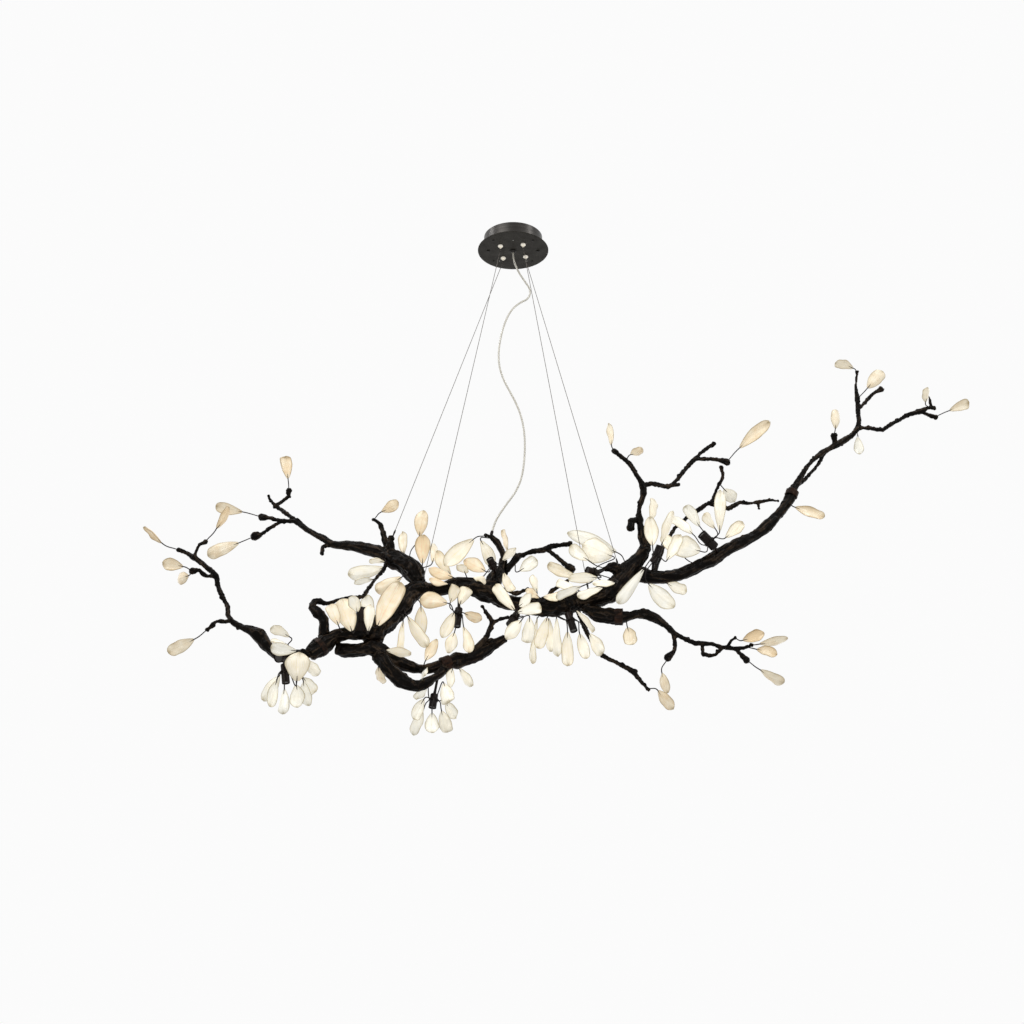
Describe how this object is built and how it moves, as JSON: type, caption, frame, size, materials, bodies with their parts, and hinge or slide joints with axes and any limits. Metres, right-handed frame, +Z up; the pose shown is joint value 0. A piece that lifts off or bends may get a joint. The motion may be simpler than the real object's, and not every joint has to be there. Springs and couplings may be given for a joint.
{
  "type": "chandelier",
  "caption": "Bough chandelier hung on cables from a round canopy, with light tubes and wired cream petals along its branching limbs.",
  "frame": {"origin": "centre of the canopy's top face, where the ceiling bracket meets the ceiling", "axes": "+Z up out of the ceiling face, +X toward the long right-hand bough, -Y toward the side the picture was taken from"},
  "size_m": [2.1136, 0.4645, 1.3586],
  "materials": {
    "canopy_bronze": "satin dark bronze",
    "plate_bronze": "satin near black",
    "bracket_steel": "zinc plated",
    "screw_steel": "blackened",
    "driver_case": "matte white",
    "block_plastic": "matte",
    "gland": "satin black",
    "gripper_brass": "dark plated",
    "gripper_tip": "bright plated",
    "cable_wire": "twisted strand",
    "fitting_bronze": "dark patina",
    "cord_sheath": "clear sheath over a pale braid",
    "bough_bronze": "near black brown patina over a cast grain",
    "sleeve_copper": "copper brown patina",
    "wire_bronze": "dark patina",
    "tube_copper": "reddish brown satin",
    "module": "warm white lamp",
    "lens": "frosted",
    "petal_cream": "translucent cream, satin"
  },
  "bodies": {
    "fixture": {"ceiling_bracket": "bracket_steel", "canopy_bolts": "screw_steel", "canopy_drum": "canopy_bronze", "canopy_plate": "plate_bronze", "rim_screws": "screw_steel", "led_driver": "driver_case", "terminal_block": "block_plastic", "inner_screws": "screw_steel", "cord_gland": "gland", "gland_nut": "gland", "gripper_bodies": "gripper_brass", "gripper_nuts": "gripper_brass", "cable_ferrules": "fitting_bronze", "power_cord": "cord_sheath", "cord_bush": "fitting_bronze", "limb_sleeves": "sleeve_copper", "petal_collars": "wire_bronze", "petal_wires": "wire_bronze", "light_tubes": "tube_copper", "led_modules": "module", "light_lenses": "lens", "cable_front_left": "cable_wire", "cable_back_left": "cable_wire", "cable_back_right": "cable_wire", "cable_front_right": "cable_wire", "lower_limb": "bough_bronze", "left_trunk": "bough_bronze", "centre_trunk": "bough_bronze", "right_trunk": "bough_bronze", "upper_left_limb": "bough_bronze", "lower_left_limb": "bough_bronze", "swag_limb": "bough_bronze", "crooked_branch": "bough_bronze", "far_left_branch": "bough_bronze", "crown_branch": "bough_bronze", "crown_arm": "bough_bronze", "riser_branch": "bough_bronze", "right_bough": "bough_bronze", "bough_tip": "bough_bronze", "back_twig": "bough_bronze", "lower_right_limb": "bough_bronze", "hanging_twig": "bough_bronze", "petals_far_left": "petal_cream", "petals_left": "petal_cream", "petals_centre_left": "petal_cream", "petals_swag": "petal_cream", "petals_centre": "petal_cream", "petals_crown": "petal_cream", "petals_riser": "petal_cream", "petals_bough": "petal_cream", "petals_right_centre": "petal_cream", "twig_petals_left": "petal_cream", "twig_petals_right": "petal_cream", "twig_petals_low": "petal_cream"},
    "tip_back_left": {"gripper_tip_back_left": "gripper_tip"},
    "tip_back_right": {"gripper_tip_back_right": "gripper_tip"},
    "tip_front_left": {"gripper_tip_front_left": "gripper_tip"},
    "tip_front_right": {"gripper_tip_front_right": "gripper_tip"},
    "swinging_petal": {"hanging_petal": "petal_cream", "petal_eyelet": "wire_bronze"}
  },
  "joints": [
    {"name": "tip_push_back_left", "type": "slide", "parent": "fixture", "child": "tip_back_left", "axis": [0, 0, 1], "range_m": [0, 0.002], "stiffness_N_per_m": 400, "springref_m": -0.001},
    {"name": "tip_push_back_right", "type": "slide", "parent": "fixture", "child": "tip_back_right", "axis": [0, 0, 1], "range_m": [0, 0.002], "stiffness_N_per_m": 400, "springref_m": -0.001},
    {"name": "tip_push_front_left", "type": "slide", "parent": "fixture", "child": "tip_front_left", "axis": [0, 0, 1], "range_m": [0, 0.002], "stiffness_N_per_m": 400, "springref_m": -0.001},
    {"name": "tip_push_front_right", "type": "slide", "parent": "fixture", "child": "tip_front_right", "axis": [0, 0, 1], "range_m": [0, 0.002], "stiffness_N_per_m": 400, "springref_m": -0.001},
    {"name": "petal_swing", "type": "hinge", "parent": "fixture", "child": "swinging_petal", "pos_m": [0.90706, 0.168, -0.49777], "axis": [0, 1, 0], "range_deg": [-35, 28]}
  ]
}
